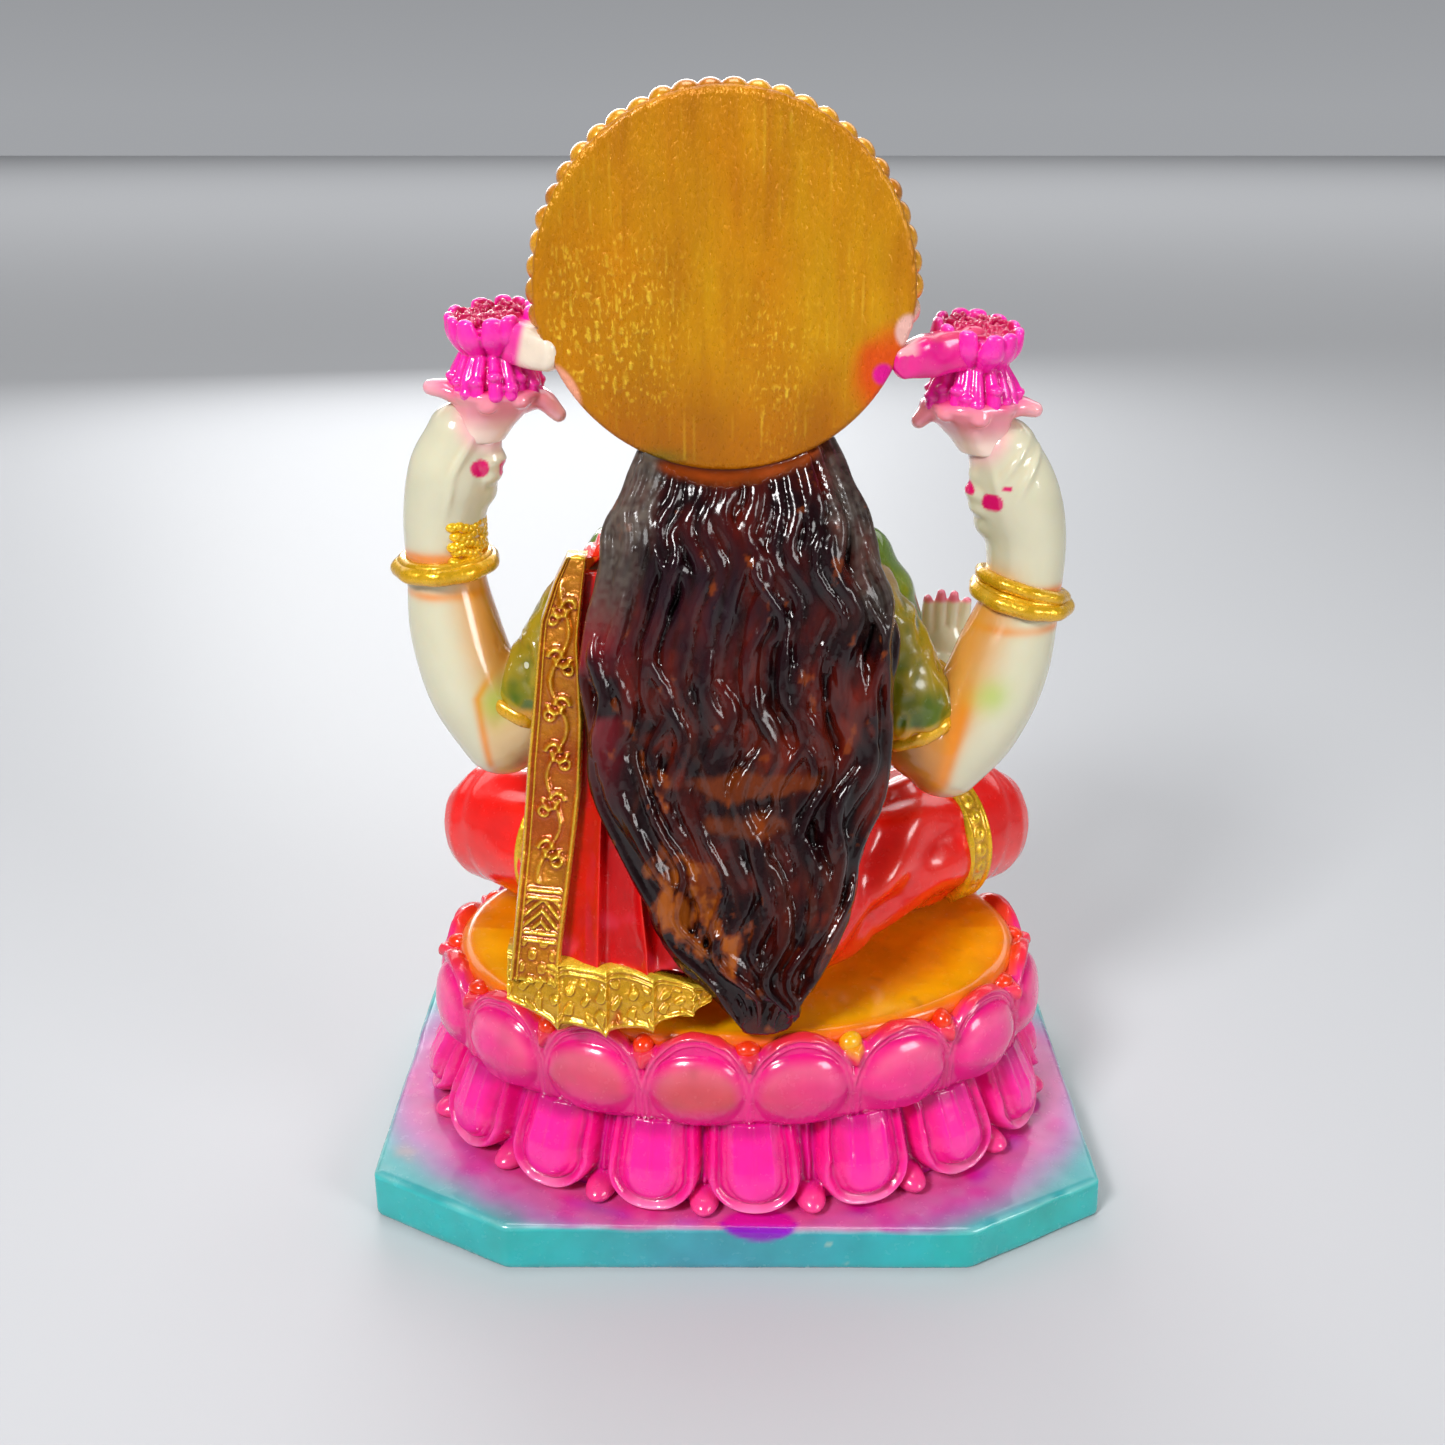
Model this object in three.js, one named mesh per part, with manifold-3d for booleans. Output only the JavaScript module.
// A small cast-resin figurine of a four-armed goddess seated cross-legged on a double lotus, on a chamfered plinth.
// Frame: millimetres, +Z up, origin at the middle of the plinth's underside. The figure faces -Y, so its own left
// side is +X. The real figurine is one rigid painted casting; each mesh here is one sculpted element of it, and
// every element stands a hairline clear of its neighbours.
import * as THREE from "three";
import { mergeVertices } from "three/addons/utils/BufferGeometryUtils.js";
import Module from "manifold-3d";

const wasm = await Module();
wasm.setup();

// ---- driving dimensions, in millimetres ----
const GAP = 0.3; // clear space between neighbouring elements
const PLINTH = { width: 88, depth: 60, height: 5.8, chamferX: 17, chamferY: 9, draft: 0.4 };
const LOTUS = { petals: 16, waist: 16.4, seat: 28 };
const SEAT = { x: 35, y: 23.6, thick: 2.6 };
const HALO = { x: 1.2, z: 106.8, radius: 18.4, front: 6.4, back: 9.6, beads: 32, bead: 1.15 };
const HEAD = { y: -1.8, crownBase: 99, top: 118 };

// ---- materials ----
const paint = (color, roughness, metalness = 0) => new THREE.MeshStandardMaterial({ color, roughness, metalness });
const MATERIALS = {
  teal: paint(0x35b3ad, 0.35),
  petalPink: paint(0xf0259a, 0.3),
  seatOrange: paint(0xdb8410, 0.4),
  skin: paint(0xe9d6b4, 0.3),
  sareeRed: paint(0xd6150f, 0.3),
  blouseGreen: paint(0x5d7a1e, 0.35),
  hairBrown: paint(0x35120e, 0.25),
  gold: paint(0xc8950f, 0.35, 0.6),
};

// ---- shapes: each returns a manifold-3d solid, with g millimetres added all round ----
function solidFrom(geometry) {
  const bare = geometry.clone();
  bare.deleteAttribute("normal");
  bare.deleteAttribute("uv");
  const merged = mergeVertices(bare, 1e-4);
  const mesh = new wasm.Mesh({
    numProp: 3,
    vertProperties: new Float32Array(merged.attributes.position.array),
    triVerts: new Uint32Array(merged.index.array),
  });
  return new wasm.Manifold(mesh);
}

const join = (solids) => solids.reduce((whole, piece) => whole.add(piece));
const turnOf = (x, y, z) => new THREE.Matrix4().makeRotationFromEuler(new THREE.Euler(x, y, z, "ZYX"));
const mirrored = (s, points) => points.map(([x, y, z]) => [s * x, y, z]);

function block(low, high, g = 0) {
  const size = low.map((value, i) => high[i] - value + 2 * g);
  const middle = low.map((value, i) => (value + high[i]) / 2);
  return solidFrom(new THREE.BoxGeometry(...size).translate(...middle));
}

// An ellipsoid; turn is [about X, about Y, about Z] in radians, X first.
function oval(centre, radii, { turn = [0, 0, 0], across = 8, down = 6, g = 0 } = {}) {
  const geometry = new THREE.SphereGeometry(1, across, down);
  geometry.rotateX(Math.PI / 2).scale(...radii.map((r) => r + g));
  geometry.applyMatrix4(turnOf(...turn));
  return solidFrom(geometry.translate(...centre));
}

// A limb or ribbon along a path. Each section is [half-width along side, half-depth across it], spread evenly.
function sweep(path, sections, { side = [1, 0, 0], sides = 8, steps = 5, ends = 0.5, even = false, g = 0 } = {}) {
  const curve = new THREE.CatmullRomCurve3(path.map((p) => new THREE.Vector3(...p)));
  const geometry = new THREE.CylinderGeometry(1, 1, 1, sides, steps);
  const place = geometry.attributes.position;
  const sideWanted = new THREE.Vector3(...side);
  for (let i = 0; i < place.count; i++) {
    const share = 0.5 - place.getY(i);
    const t = even ? share : 0.5 - 0.5 * Math.cos(Math.PI * share);
    const at = t * (sections.length - 1);
    const low = Math.min(Math.floor(at), sections.length - 2);
    const mix = (k) => THREE.MathUtils.lerp(sections[low][k], sections[low + 1][k], at - low);
    const tangent = curve.getTangent(t);
    const across = sideWanted.clone().addScaledVector(tangent, -sideWanted.dot(tangent)).normalize();
    const normal = tangent.clone().cross(across);
    const tip = Math.min(t, 1 - t);
    const rounded = ends + (1 - ends) * Math.sqrt(Math.min(1, tip / 0.12));
    const point = curve.getPoint(t);
    if (tip < 1e-6) point.addScaledVector(tangent, g * Math.sign(t - 0.5));
    point.addScaledVector(across, place.getX(i) * (mix(0) * rounded + g));
    point.addScaledVector(normal, place.getZ(i) * (mix(1) * rounded + g));
    place.setXYZ(i, point.x, point.y, point.z);
  }
  return solidFrom(geometry);
}

const limb = (path, radii, options = {}) => sweep(path, radii.map((r) => [r, r]), options);

// A body turned about Z from [radius, z] points. stretch makes the plan oval; lobes and flute scallop it.
function turned(profile, { at = [0, 0], stretch = [1, 1], segments = 20, lobes = 0, flute = 0, g = 0 } = {}) {
  const lowest = profile[0][1];
  const highest = profile[profile.length - 1][1];
  const points = profile.map(([r, z]) => {
    const lift = z === lowest ? -g : z === highest ? g : 0;
    return new THREE.Vector2(r === 0 ? 0 : r + g, z + lift);
  });
  const geometry = new THREE.LatheGeometry(points, segments);
  const place = geometry.attributes.position;
  for (let i = 0; i < place.count; i++) {
    const angle = Math.atan2(place.getX(i), place.getZ(i));
    const swell = 1 + flute * Math.cos(lobes * angle);
    place.setX(i, place.getX(i) * swell * stretch[0]);
    place.setZ(i, place.getZ(i) * swell * stretch[1]);
  }
  return solidFrom(geometry.rotateX(Math.PI / 2).translate(at[0], at[1], 0));
}

// A ring about Z with an oval plan and an oval tube, then turned.
function ring(centre, radii, [thick, tall], { turn = [0, 0, 0], around = 14, g = 0 } = {}) {
  const geometry = new THREE.TorusGeometry(1, 1, 6, around);
  const place = geometry.attributes.position;
  for (let i = 0; i < place.count; i++) {
    const angle = ((i % (around + 1)) / around) * 2 * Math.PI;
    const part = (Math.floor(i / (around + 1)) / 6) * 2 * Math.PI;
    const out = (thick + g) * Math.cos(part);
    place.setX(i, (radii[0] + out) * Math.cos(angle));
    place.setY(i, (radii[1] + out) * Math.sin(angle));
    place.setZ(i, (tall + g) * Math.sin(part));
  }
  geometry.applyMatrix4(turnOf(...turn));
  return solidFrom(geometry.translate(...centre));
}

// A short round plate with its axis along Y.
function disc([x, z], radius, front, back, { segments = 24, g = 0 } = {}) {
  const geometry = new THREE.CylinderGeometry(radius + g, radius + g, back - front + 2 * g, segments);
  return solidFrom(geometry.translate(x, (front + back) / 2, z));
}

// ---- the assembly: each element is cut back, with the gap, by those placed before it ----
const root = new THREE.Group();
const placed = [];
const touches = (a, b) => a.min.every((low, i) => low < b.max[i] && b.min[i] < a.max[i]);

function add(name, material, make) {
  let solid = make(0);
  for (const other of placed) {
    if (touches(solid.boundingBox(), other.bounds)) solid = solid.subtract(other.grown);
  }
  const [largest] = solid.decompose().sort((a, b) => b.volume() - a.volume());
  const mesh = largest.getMesh();
  const geometry = new THREE.BufferGeometry();
  geometry.setAttribute("position", new THREE.BufferAttribute(mesh.vertProperties, 3));
  geometry.setIndex(new THREE.BufferAttribute(mesh.triVerts, 1));
  const part = new THREE.Mesh(geometry, MATERIALS[material]);
  part.name = name;
  root.add(part);
  const grown = make(GAP);
  placed.push({ grown, bounds: grown.boundingBox() });
}

// ---- plinth: an oblong with cut corners, a little wider at the foot ----
add("plinth", "teal", (g) => {
  const [x, y] = [PLINTH.width / 2 + g, PLINTH.depth / 2 + g];
  const corner = [
    [x, y - PLINTH.chamferY],
    [x - PLINTH.chamferX, y],
  ];
  const outline = [[1, 1], [-1, 1], [-1, -1], [1, -1]].flatMap(([sx, sy]) => {
    const pair = sx * sy > 0 ? corner : [...corner].reverse();
    return pair.map(([cx, cy]) => new THREE.Vector2(sx * cx, sy * cy));
  });
  const geometry = new THREE.ExtrudeGeometry(new THREE.Shape(outline), {
    depth: PLINTH.height + g,
    bevelEnabled: false,
  });
  const place = geometry.attributes.position;
  for (let i = 0; i < place.count; i++) {
    if (place.getZ(i) < 1e-6) continue;
    place.setX(i, place.getX(i) - PLINTH.draft * Math.sign(place.getX(i)));
    place.setY(i, place.getY(i) - PLINTH.draft * Math.sign(place.getY(i)));
  }
  return solidFrom(geometry);
});

// ---- lotus throne: two tiers of petals round an oval drum, with an oval seat let into the top ----
// A closed body through rings of equal count, listed from the bottom up, each with a fan to its own middle.
function stack(rings) {
  const count = rings[0].length;
  const middle = (points) => {
    const sum = points.reduce((total, p) => total.add(p), new THREE.Vector3());
    return sum.divideScalar(points.length);
  };
  const points = [...rings.flat(), middle(rings[0]), middle(rings.at(-1))];
  const faces = [];
  for (let row = 0; row + 1 < rings.length; row++) {
    for (let i = 0; i < count; i++) {
      const [a, b] = [row * count + i, row * count + ((i + 1) % count)];
      faces.push(a, b, b + count, a, b + count, a + count);
    }
  }
  const top = (rings.length - 1) * count;
  for (let i = 0; i < count; i++) {
    const next = (i + 1) % count;
    faces.push(rings.length * count, next, i, rings.length * count + 1, top + i, top + next);
  }
  const geometry = new THREE.BufferGeometry().setFromPoints(points);
  return solidFrom(geometry.setIndex(faces));
}

// Each row of a tier is [out from the drum, z, petal swell outwards, petal swell upwards].
function tier(rows, phase, recessed, g) {
  const [a, b] = [36, 24.3];
  const outline = new THREE.EllipseCurve(0, 0, a, b, 0, 2 * Math.PI);
  const perPetal = 4;
  const total = LOTUS.petals * perPetal;
  const rings = rows.map(([out, z, swellOut, swellUp], row) => {
    const lift = row === 0 ? -g : row >= rows.length - (recessed ? 2 : 1) ? g : 0;
    return Array.from({ length: total }, (_, i) => {
      const along = (i / perPetal + phase + LOTUS.petals) % LOTUS.petals;
      const { x, y } = outline.getPointAt(along / LOTUS.petals);
      const facing = Math.atan2(y / (b * b), x / (a * a));
      const lobe = Math.sqrt(Math.abs(Math.cos((Math.PI * i) / perPetal)));
      const reach = out + swellOut * lobe + (recessed && row === rows.length - 1 ? -g : g);
      return new THREE.Vector3(
        x + reach * Math.cos(facing),
        y + reach * Math.sin(facing),
        z + swellUp * lobe + lift,
      );
    });
  });
  return stack(rings);
}

add("lotus_seat", "seatOrange", (g) =>
  turned(
    [
      [0, LOTUS.seat - SEAT.thick],
      [SEAT.x - 0.7, LOTUS.seat - SEAT.thick],
      [SEAT.x, LOTUS.seat - SEAT.thick / 2],
      [SEAT.x - 0.8, LOTUS.seat],
      [0, LOTUS.seat],
    ],
    { stretch: [1, SEAT.y / SEAT.x], segments: 32, g },
  ),
);
add("lotus_lower_tier", "petalPink", (g) =>
  tier(
    [
      [1, PLINTH.height + GAP, 2, 0],
      [1.3, PLINTH.height + 1.3, 3.1, 0],
      [0.5, 10, 3, 0],
      [-0.2, 13.4, 2.2, 0],
      [-1.2, LOTUS.waist - GAP, 1, 0],
    ],
    0.185,
    false,
    g,
  ),
);
add("lotus_upper_tier", "petalPink", (g) =>
  tier(
    [
      [-1, LOTUS.waist, 1, 0],
      [-0.5, 18.6, 2.3, 0],
      [-0.5, 22, 2.7, 0],
      [-0.2, 25.4, 2, 0.6],
      [-0.2, 26, 0.6, 2.6],
      [-0.3, LOTUS.seat - SEAT.thick - 0.4, 0, 0],
    ],
    -0.4,
    true,
    g,
  ),
);

// ---- halo: a flat round plate behind the head, beaded along its upper edge ----
const beadArc = [-0.25, Math.PI + 0.08];
add("halo_disc", "gold", (g) => {
  const outline = new THREE.Shape();
  outline.absarc(HALO.x, HALO.z, HALO.radius - HALO.bead + g, beadArc[0], beadArc[1], false);
  outline.absarc(HALO.x, HALO.z, HALO.radius + g, beadArc[1] + 0.03, 2 * Math.PI + beadArc[0] - 0.03, false);
  const plate = new THREE.ExtrudeGeometry(outline, {
    depth: HALO.back - HALO.front + 2 * g,
    bevelEnabled: false,
    curveSegments: 18,
  });
  return solidFrom(plate.rotateX(Math.PI / 2).translate(0, HALO.back + g, 0));
});
add("halo_beading", "gold", (g) => {
  const reach = HALO.radius + GAP;
  const stations = Array.from({ length: HALO.beads * 2 + 1 }, (_, i) => {
    const angle = beadArc[0] + ((beadArc[1] - beadArc[0]) * i) / (HALO.beads * 2);
    return [HALO.x + reach * Math.cos(angle), (HALO.front + HALO.back) / 2, HALO.z + reach * Math.sin(angle)];
  });
  const sections = stations.map((_, i) => (i % 2 ? [HALO.bead, 1.55] : [HALO.bead * 0.72, 1.15]));
  return sweep(stations, sections, { side: [0, 0, 1], sides: 6, steps: HALO.beads * 2, ends: 1, even: true, g });
});

// ---- the figure's trim first, so the bodies behind it are cut to suit ----
for (const [name, s, lift] of [["left", 1, 0], ["right", -1, -3]]) {
  const x = s > 0 ? 33.3 : 32.4;
  add(`rear_bangle_${name}`, "gold", (g) =>
    ring([s * x, 2, 76 + lift], [4.7, 4.7], [1.1, 1.2], { turn: [0, s * 0.06, 0], g }),
  );
  add(`rear_sleeve_band_${name}`, "gold", (g) =>
    ring([s * (24.3 - (s < 0 ? 3.6 : 0)), 4.8, 60.6 + lift * 0.8], [4.7, 4.7], [0.8, 0.9], {
      turn: [0, s * -0.42, 0],
      g,
    }),
  );
  add(`front_bangle_${name}`, "gold", (g) =>
    s > 0
      ? ring([23.4, -13.6, 50.2], [3.3, 3.3], [0.8, 0.9], { turn: [0.85, 0.35, 0], around: 12, g })
      : ring([-23.6, -9.3, 58.4], [3.3, 3.3], [0.8, 0.9], { turn: [0.75, -0.7, 0], around: 12, g }),
  );
  add(`earring_${name}`, "gold", (g) =>
    join([
      oval([s * 7.1, -1.2, 90.4], [1.1, 1.1, 1.1], { across: 8, down: 5, g }),
      turned([[0, 86.2], [1.5, 86.4], [1.2, 87.8], [0.5, 89.8], [0, 89.9]], { at: [s * 7.2, -1.2], segments: 10, g }),
    ]),
  );
  add(`anklet_${name}`, "gold", (g) =>
    s > 0
      ? ring([-2.2, -15, 39.6], [3.4, 3.4], [0.8, 0.9], { turn: [0.1, -1.4, 0.15], around: 12, g })
      : ring([3.4, -19.4, 32.9], [3.6, 3.4], [0.8, 0.9], { turn: [0, 1.5, 0.03], around: 12, g }),
  );
}
add("choker", "gold", (g) => ring([0, -0.4, 80.6], [5.3, 4.9], [1, 1.2], { turn: [0.16, 0, 0], g }));
add("long_necklace", "gold", (g) =>
  limb(
    [
      [-6.4, -2.2, 78.6],
      [-5.6, -8.2, 70.5],
      [0, -10.2, 63],
      [5.6, -8.2, 70.5],
      [6.4, -2.2, 78.6],
    ],
    [0.9, 1, 1.7, 1, 0.9],
    { side: [0, 1, 0.2], sides: 8, steps: 12, g },
  ),
);
add("waist_belt", "gold", (g) =>
  join([
    ring([0, 0.6, 49.6], [10, 7], [1.1, 1.3], { turn: [0.06, 0, 0], around: 16, g }),
    oval([0, -7.4, 49.2], [2.4, 1.3, 2], { across: 8, down: 5, g }),
  ]),
);

// ---- head: crown, face and neck, hair ----
add("crown", "gold", (g) =>
  turned(
    [
      [0, HEAD.crownBase - 1.4],
      [6.6, HEAD.crownBase - 1.4],
      [7.5, HEAD.crownBase],
      [6.9, HEAD.crownBase + 2],
      [7.2, HEAD.crownBase + 3.2],
      [6, HEAD.crownBase + 7],
      [5.9, HEAD.crownBase + 8.2],
      [4.4, HEAD.crownBase + 11.6],
      [4.3, HEAD.crownBase + 12.6],
      [2.4, HEAD.crownBase + 15.4],
      [1.4, HEAD.crownBase + 16],
      [1.7, HEAD.crownBase + 17.2],
      [1.1, HEAD.top - 0.6],
      [0, HEAD.top],
    ],
    { at: [0, HEAD.y], segments: 14, g },
  ),
);
add("head", "skin", (g) =>
  join([
    oval([0, HEAD.y, 94.6], [6.1, 6.9, 7.2], { across: 12, down: 8, g }),
    oval([0, HEAD.y - 1.6, 89.6], [4.7, 5, 5], { across: 12, down: 8, g }),
    limb([[0, HEAD.y - 6.4, 94.6], [0, HEAD.y - 7.5, 91.6], [0, HEAD.y - 6, 91.2]], [0.6, 1, 0.7], {
      sides: 6,
      steps: 4,
      g,
    }),
    limb([[0, 0.4, 79], [0, -0.2, 82], [0, -1, 86.4]], [4.3, 3.8, 3.9], { ends: 1, steps: 4, g }),
  ]),
);
add("hair_front", "hairBrown", (g) =>
  oval([0, HEAD.y + 1.2, 95], [7.4, 7.4, 8], { across: 12, down: 8, g }).subtract(
    block([-12, -14, 80], [12, HEAD.y - 3.4, 97.4], -g),
  ),
);
add("hair_back", "hairBrown", (g) =>
  sweep(
    [
      [0, 6.6, 90],
      [0, 11.2, 81],
      [0, 12.8, 71],
      [0, 14.2, 60],
      [-0.6, 17.4, 48],
      [-1.4, 21.4, 38],
      [-1.9, 24.4, 30],
    ],
    [
      [10, 2.4],
      [15.4, 3.2],
      [17.4, 3.6],
      [17.4, 3.8],
      [13.2, 3.8],
      [8, 3.4],
      [2.2, 2],
    ],
    { sides: 9, steps: 10, ends: 0.7, g },
  ),
);

// ---- rear arms, each raised in a C and holding a lotus that is bridged to the halo ----
for (const [name, s] of [["left", 1], ["right", -1]]) {
  const left = s > 0;
  const [fx, fy, fz] = left ? [26, 2.6, 94] : [-24.8, 2.6, 92.6];
  add(`held_lotus_${name}`, "petalPink", (g) =>
    turned(
      [
        [0, fz + 2.9],
        [4, fz + 2.9],
        [4.7, fz + 4.4],
        [4.1, fz + 6.1],
        [2.9, fz + 6.7],
        [3.9, fz + 7.7],
        [4.3, fz + 9.4],
        [3.6, fz + 11],
        [0, fz + 11.3],
      ],
      { at: [fx, fy], segments: 20, lobes: 10, flute: 0.08, g },
    ),
  );
  add(`lotus_bridge_${name}`, left ? "skin" : "petalPink", (g) =>
    sweep(
      left
        ? [[22.6, 4.4, 101.2], [20.4, 6.4, 101], [18.2, 8, 100.6]]
        : [[-21.4, 4.6, 99.8], [-18.8, 6.6, 99.6], [-16.6, 8.1, 99.6]],
      [[1.6, 1.6], [1.7, 1.6], [2, 1.5]],
      { side: [0, 0, 1], sides: 8, steps: 5, ends: 0.8, g },
    ),
  );
  add(`lotus_calyx_${name}`, "petalPink", (g) =>
    turned(
      [
        [0, fz - 1.2],
        [2.2, fz - 0.8],
        [3.4, fz + 0.6],
        [5.4, fz + 2.2],
        [4.2, fz + 2.5],
        [0, fz + 2.5],
      ],
      { at: [fx, fy], segments: 24, lobes: 6, flute: 0.2, g },
    ),
  );
  const palm = left
    ? [[33.1, 2, 80], [32.4, 2.2, 85], [30.2, 2.5, 89.4], [27.4, 2.6, 93]]
    : [[-32.4, 2, 77], [-32.2, 2.2, 82], [-29.6, 2.5, 87.2], [-26.2, 2.6, 91.4]];
  add(`rear_hand_${name}`, "skin", (g) => {
    const fingers = [0, 1, 2, 3].map((i) => {
      const [x, z] = left ? [28.9 - 0.35 * i, 91.6 - 2.1 * i] : [-28.2 + 0.35 * i, 89.6 - 2.1 * i];
      return oval([x, 4.6, z], [2.3, 1.5, 1.25], { turn: [0, s * 0.3, 0], across: 7, down: 5, g });
    });
    const thumb = oval([palm[2][0] - s * 1.6, -1.2, palm[2][2] + 0.6], [1.4, 1.5, 3], { across: 7, down: 5, g });
    return join([limb(palm, [4.2, 4.6, 4.3, 3.1], { sides: 9, steps: 5, ends: 0.8, g }), ...fingers, thumb]);
  });
  add(`rear_forearm_${name}`, "skin", (g) =>
    limb(
      left
        ? [[27.6, 4.6, 58.6], [31.4, 3.6, 66], [33.2, 2.4, 73], [33.2, 2, 80.4]]
        : [[-24.6, 4.6, 55.6], [-29.6, 3.6, 63], [-32.2, 2.4, 70], [-32.4, 2, 77.4]],
      [4.9, 4.8, 4.1, 4.1],
      { sides: 9, steps: 6, ends: 0.85, g },
    ),
  );
  add(`rear_upper_arm_${name}`, "skin", (g) =>
    limb(
      left
        ? [[22.6, 4.9, 64], [24.6, 4.8, 59.6], [26.8, 4.6, 56]]
        : [[-19.4, 4.9, 61.4], [-21.2, 4.8, 57], [-23.8, 4.6, 53.4]],
      [4.2, 4.6, 4.9],
      { sides: 9, steps: 6, ends: 0.6, g },
    ),
  );
  add(`rear_sleeve_${name}`, "blouseGreen", (g) =>
    limb(
      left
        ? [[14, 4, 76.6], [18.6, 4.6, 71], [21.6, 4.9, 65.6], [23.8, 4.8, 61.2]]
        : [[-12.6, 4, 75.6], [-16.2, 4.6, 69.6], [-18.8, 4.9, 63.6], [-20.4, 4.8, 58.8]],
      [3.8, 5.2, 5.2, 5],
      { sides: 9, steps: 5, ends: 0.8, g },
    ),
  );
}

// ---- the drape over the left shoulder: a pleated fall with a gold edge strip and hem, and its sash in front ----
add("pallu_border", "gold", (g) =>
  sweep(
    [
      [18.3, 8.3, 79.2],
      [19.9, 11.5, 70],
      [20.8, 13.5, 60],
      [22, 16.5, 48],
      [24.1, 21.7, 35.6],
    ],
    [[1.4, 1.2], [2.6, 1.3], [2.8, 1.3], [2.8, 1.3], [2.9, 1.3]],
    { sides: 8, steps: 10, ends: 0.9, side: [1, -0.3, 0], g },
  ),
);
add("pallu_hem", "gold", (g) =>
  sweep(
    [
      [25.6, 22.4, 33.2],
      [19, 24.1, 32.8],
      [12, 24.5, 33],
      [5.4, 24.2, 34.2],
    ],
    [[2.9, 1.2], [3, 1.2], [3, 1.2], [2.6, 1.2]],
    { side: [0, -0.35, 1], sides: 8, steps: 12, ends: 0.9, g },
  ),
);
add("pallu", "sareeRed", (g) =>
  sweep(
    [
      [14.6, 8.4, 79],
      [14.8, 11.4, 70],
      [14.4, 13.2, 60],
      [13.2, 16.2, 48],
      [12.6, 21.2, 35.6],
    ],
    [[2.8, 1.4], [3.6, 1.7], [4.6, 1.9], [7, 2], [9.4, 1.8]],
    { sides: 9, steps: 10, ends: 0.9, side: [1, -0.15, 0], g },
  ),
);
add("chest_sash", "sareeRed", (g) =>
  sweep(
    [
      [-10, -1.6, 52.6],
      [-4.4, -7.4, 57.6],
      [3.6, -9.2, 66.6],
      [10.6, -5.2, 75.4],
      [14.6, 2, 79.6],
      [15.2, 7, 79.2],
    ],
    [[2.4, 1.2], [3.6, 1.2], [4, 1.2], [3.6, 1.3], [3.2, 1.4], [2.8, 1.4]],
    { side: [1, 0, -0.8], sides: 8, steps: 12, ends: 0.9, g },
  ),
);

// ---- front hands: the right is raised palm forward, the left lowered palm forward over a fall of coins ----
function openHand([x, y, z], up, g) {
  const inward = -Math.sign(x);
  const palm = oval([x, y, z + up * 2.6], [2.9, 1.4, 3.4], { across: 8, down: 6, g });
  const fingers = [-1, 0, 1, 2].map((i) => {
    const fx = x + (i - 0.5) * 1.45;
    const length = 4.6 - Math.abs(i - 0.4) * 0.6;
    const reach = [4, 5 + length * 0.5, 5 + length];
    return limb(
      reach.map((r, k) => [fx, y - 0.3 * (k % 2), z + up * r]),
      [0.85, 0.85, 0.7],
      { sides: 6, steps: 3, ends: 0.8, g },
    );
  });
  const thumb = limb(
    [
      [x + inward * 2.2, y, z + up * 1.6],
      [x + inward * 3.7, y - 0.4, z + up * 3.6],
      [x + inward * 3.9, y - 0.4, z + up * 6],
    ],
    [1, 0.9, 0.7],
    { sides: 6, steps: 3, ends: 0.8, g },
  );
  return join([palm, ...fingers, thumb]);
}

add("front_hand_right", "skin", (g) => openHand([-25.6, -10.6, 59.4], 1, g));
add("front_hand_left", "skin", (g) => openHand([24.8, -18.4, 47.6], -1, g));
add("front_forearm_right", "skin", (g) =>
  limb([[-17.6, -3, 58.6], [-19.8, -6, 56.6], [-24.8, -10, 59.4]], [3.7, 3.7, 2.6], { steps: 5, ends: 0.8, g }),
);
add("front_forearm_left", "skin", (g) =>
  limb([[18.2, -3.4, 60], [20.2, -7.4, 56], [24.2, -16.4, 47.8]], [3.7, 3.7, 2.6], { steps: 5, ends: 0.8, g }),
);
for (const [name, s] of [["left", 1], ["right", -1]]) {
  add(`front_sleeve_${name}`, "blouseGreen", (g) =>
    limb(mirrored(s, [[13, -0.6, 76.4], [16, -1.8, 69], [17.8, -3.2, 61.6]]), [4.4, 4.8, 4.3], {
      sides: 8,
      steps: 4,
      ends: 0.8,
      g,
    }),
  );
}

// ---- seated body, from the lap up ----
add("coin_fall", "gold", (g) => {
  const coins = Array.from({ length: 5 }, (_, i) => {
    const tilt = 0.45 * Math.sin(2.4 * i);
    const geometry = new THREE.CylinderGeometry(2.3 + g, 2.3 + g, 1.9 + 2 * g, 8);
    geometry.rotateX(Math.PI / 2 + 0.9 + tilt).rotateZ(1.7 * i);
    return solidFrom(geometry.translate(24 - 0.3 * i + 0.7 * Math.sin(2 * i), 0.1 * i - 20.4, 36.8 - 1.75 * i));
  });
  return join(coins);
});
add("saree_front_pleats", "sareeRed", (g) =>
  sweep(
    [
      [0, -21.6, 37.4],
      [0.4, -23.4, 33.4],
      [0.8, -24.2, 29.4],
    ],
    [[3, 1.4], [6, 1.5], [8.6, 1.3]],
    { sides: 9, steps: 5, ends: 0.9, g },
  ),
);
add("foot_right", "skin", (g) =>
  join([
    sweep([[4.4, -19.5, 32.9], [9, -19.2, 32.6], [14.4, -17.8, 32.4]], [[2.9, 3], [2.6, 3], [2.2, 1.7]], {
      side: [0, 1, 0],
      steps: 6,
      ends: 0.8,
      g,
    }),
    ...[0, 1, 2, 3].map((i) => oval([15.2, 1.1 * i - 19.4, 32.2], [1.4, 0.75, 0.8], { across: 6, down: 4, g })),
  ]),
);
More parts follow.
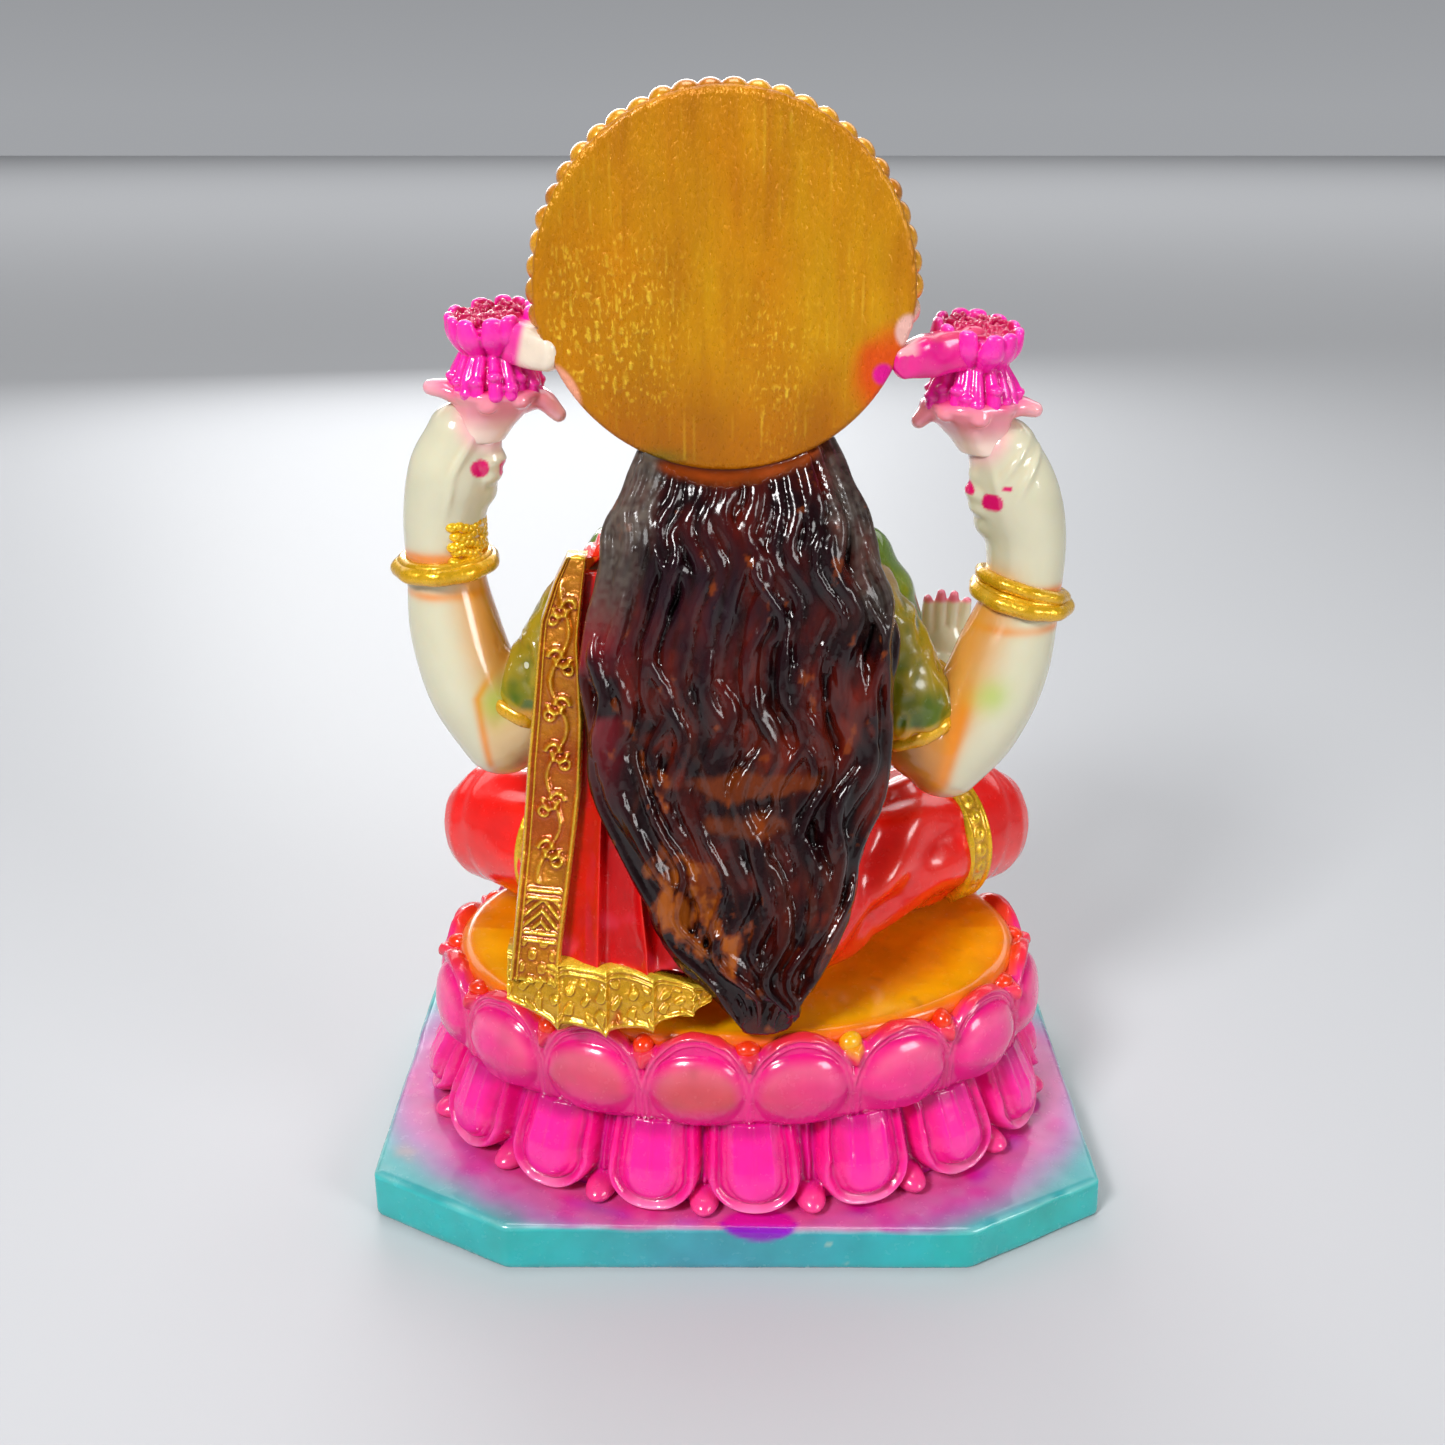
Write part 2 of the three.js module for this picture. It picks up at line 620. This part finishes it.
add("foot_left", "skin", (g) =>
  join([
    sweep([[-3, -15, 39.7], [-7, -15.8, 40.2], [-12, -16, 40.4]], [[2.8, 2.9], [2.6, 2.6], [2.3, 1.6]], {
      side: [0, 1, 0],
      steps: 6,
      ends: 0.8,
      g,
    }),
    ...[0, 1, 2, 3].map((i) => oval([-12.8, 1.1 * i - 17.6, 40.3], [1.4, 0.75, 0.8], { across: 6, down: 4, g })),
  ]),
);
for (const [name, s] of [["left", 1], ["right", -1]]) {
  add(`knee_border_${name}`, "gold", (g) =>
    ring([s * 25.4, -5.4, 38.4], [8.3, 8.3], [0.9, 1.5], { turn: [0, s * 1.2, s * -0.55], around: 12, g }).intersect(
      block([-50, -40, LOTUS.seat], [50, 40, 60], -g),
    ),
  );
}
for (const [name, s, shin] of [
  ["right", -1, [[-34, -12.6, 36.4], [-17, -17.6, 34.6], [2.6, -19.4, 33]]],
  ["left", 1, [[34, -12.6, 36.4], [16, -14.6, 36.8], [-1.6, -14.6, 39.4]]],
]) {
  add(`saree_leg_${name}`, "sareeRed", (g) =>
    join([
      limb(mirrored(s, [[10, 3.6, 37.6], [19, -3, 38.6], [28, -9.2, 38], [36.6, -12, 37.2]]), [8.8, 8.9, 8.6, 6.8], {
        sides: 10,
        steps: 5,
        ends: 0.55,
        g,
      }),
      limb(shin, [7.2, 5.7, 3.9], { sides: 9, steps: 5, ends: 0.7, g }),
    ]),
  );
}
add("saree_hips", "sareeRed", (g) =>
  join([
    oval([0, 4.2, 36], [17.4, 13.8, 12.4], { across: 14, down: 8, g }),
    sweep([[0, 1, 40], [0, 0.6, 49.6]], [[13, 9], [9.6, 6.6]], { sides: 10, steps: 5, ends: 0.95, g }),
  ]).intersect(block([-50, -40, LOTUS.seat], [50, 40, 60], g)),
);
add("torso_blouse", "blouseGreen", (g) =>
  join([
    sweep(
      [[0, 0.6, 58.6], [0, 0.6, 65], [0, 1.2, 72], [0, 1.4, 78.8]],
      [[9.2, 6.2], [11.6, 7.2], [13.8, 6.8], [7.4, 4.8]],
      { sides: 9, steps: 6, ends: 0.92, g },
    ),
    oval([4.8, -5.4, 66.4], [4.5, 4.1, 4.4], { across: 8, down: 6, g }),
    oval([-4.8, -5.4, 66.4], [4.5, 4.1, 4.4], { across: 8, down: 6, g }),
  ]),
);
add("midriff", "skin", (g) =>
  sweep([[0, 0.6, 50], [0, 0.4, 54.4], [0, 0.6, 58.8]], [[9.2, 6.2], [8, 5.6], [8.8, 6]], {
    sides: 12,
    steps: 5,
    ends: 1,
    g,
  }),
);

export default root;
